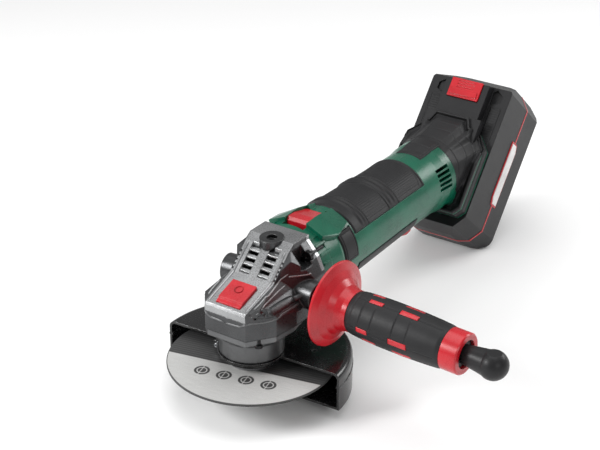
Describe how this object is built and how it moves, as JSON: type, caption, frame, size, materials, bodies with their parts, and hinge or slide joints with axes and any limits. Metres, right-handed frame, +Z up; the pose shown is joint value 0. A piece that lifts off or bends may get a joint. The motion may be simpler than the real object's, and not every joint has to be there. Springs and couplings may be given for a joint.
{
  "type": "angle grinder",
  "caption": "Cordless angle grinder with a guarded cutting disc, a round-barrelled grip, a screw-in side handle and a slide-on battery.",
  "frame": {"origin": "spindle axis, in the plane of the flange face that the disc is clamped against", "axes": "+Y from the gear head to the battery, +Z up away from the disc, +X towards the fitted side handle"},
  "size_m": [0.27, 0.4468, 0.1442],
  "materials": {
    "graphite_casting": "dark satin casting with a fine grain",
    "grey_casting": "dull grey casting",
    "silver_hood": "light silver lacquer, satin",
    "black_screws": "blackened steel",
    "black_rubber": "matt",
    "bearing_steel": "ground and polished",
    "steel": "turned, bright",
    "gear_steel": "machined",
    "dark_nut": "blackened, satin",
    "abrasive_disc": "gritty bonded disc",
    "black_guard": "gloss black powder coat, worn on its edges",
    "red_plastic": "satin to gloss moulding",
    "green_plastic": "satin moulding",
    "soft_black": "fine textured soft grip",
    "black_plastic": "spark-textured moulding",
    "circuit_board": "lacquered board",
    "motor_steel": "pressed and stacked steel",
    "magnet": "ground ferrite",
    "copper": "enamelled copper",
    "white_label": "printed film, blank",
    "cell_wrap": "shrink wrap"
  },
  "bodies": {
    "tool": {"gear_case": "graphite_casting", "hood": "silver_hood", "bearing_cover": "grey_casting", "cover_screws": "black_screws", "head_screws": "black_screws", "dust_seal": "black_rubber", "lower_bearing": "bearing_steel", "upper_bearing": "bearing_steel", "retainer_plate": "steel", "lock_spring": "steel", "housing_left": "green_plastic", "housing_right": "green_plastic", "housing_screws": "black_screws", "grip_panels": "soft_black", "grip_saddle": "soft_black", "side_pads": "soft_black", "underside_grip": "soft_black", "neck_grip": "soft_black", "switch_unit": "black_plastic", "control_board": "circuit_board", "terminal_block": "black_plastic", "motor_can": "motor_steel", "magnets": "magnet", "front_bearing": "bearing_steel", "rear_bearing": "bearing_steel", "brush_holder": "black_plastic", "air_baffle": "black_plastic"},
    "spindle": {"spindle": "steel", "crown_gear": "gear_steel", "inner_flange": "gear_steel", "cutting_disc": "abrasive_disc", "clamp_nut": "dark_nut"},
    "rotor": {"rotor_shaft": "steel", "rotor_core": "motor_steel", "windings": "copper", "commutator": "copper", "fan": "black_plastic", "pinion": "gear_steel"},
    "guard": {"guard_shell": "black_guard", "guard_collar": "black_guard", "guard_clamp_screw": "steel"},
    "lock_button": {"lock_button": "red_plastic"},
    "power_slider": {"power_slider": "red_plastic"},
    "trigger": {"trigger": "red_plastic"},
    "battery": {"pack_inner_shell": "black_plastic", "pack_outer_shell": "black_plastic", "pack_seam_band": "red_plastic", "pack_labels": "white_label", "battery_cells": "cell_wrap", "cell_frames": "black_plastic", "pack_board": "circuit_board"},
    "release_button": {"release_button": "red_plastic"},
    "side_handle": {"handle_core": "red_plastic", "handle_grip": "soft_black", "handle_stud": "steel"},
    "key": {"key_knob": "black_plastic", "key_blade": "steel"}
  },
  "joints": [
    {"name": "spindle_spin", "type": "hinge", "parent": "tool", "child": "spindle", "pos_m": [0, 0, 0], "axis": [0, 0, 1], "continuous": true},
    {"name": "rotor_spin", "type": "hinge", "parent": "tool", "child": "rotor", "pos_m": [0, 0, 0.0534], "axis": [0, 1, 0], "continuous": true},
    {"name": "guard_turn", "type": "hinge", "parent": "tool", "child": "guard", "pos_m": [0, 0, 0], "axis": [0, 0, 1], "range_deg": [-60, 60]},
    {"name": "lock_press", "type": "slide", "parent": "tool", "child": "lock_button", "axis": [0, 0, -1], "range_m": [0, 0.003], "stiffness_N_per_m": 600, "springref_m": -0.003, "deforming": ["lock_spring"]},
    {"name": "power_slide", "type": "slide", "parent": "tool", "child": "power_slider", "axis": [0, -1, 0], "range_m": [0, 0.006]},
    {"name": "trigger_pull", "type": "hinge", "parent": "tool", "child": "trigger", "pos_m": [0, 0.1917, 0.027], "axis": [1, 0, 0], "range_deg": [0, 6], "stiffness_Nm_per_rad": 0.8, "springref_deg": -8.59},
    {"name": "battery_slide", "type": "slide", "parent": "tool", "child": "battery", "axis": [0, 0.6428, 0.766], "range_m": [0, 0.066]},
    {"name": "release_press", "type": "slide", "parent": "battery", "child": "release_button", "axis": [0, 0.766, -0.6428], "range_m": [0, 0.0025], "stiffness_N_per_m": 500, "springref_m": -0.003},
    {"name": "handle_draw", "type": "slide", "parent": "tool", "child": "side_handle", "axis": [0.9988, -0.0436, -0.0209], "range_m": [0, 0.034]},
    {"name": "key_draw", "type": "slide", "parent": "side_handle", "child": "key", "axis": [0.9988, -0.0436, -0.0209], "range_m": [0, 0.064]}
  ],
  "couplings": [
    {"joint": "rotor_spin", "follows": "spindle_spin", "ratio": 4}
  ]
}
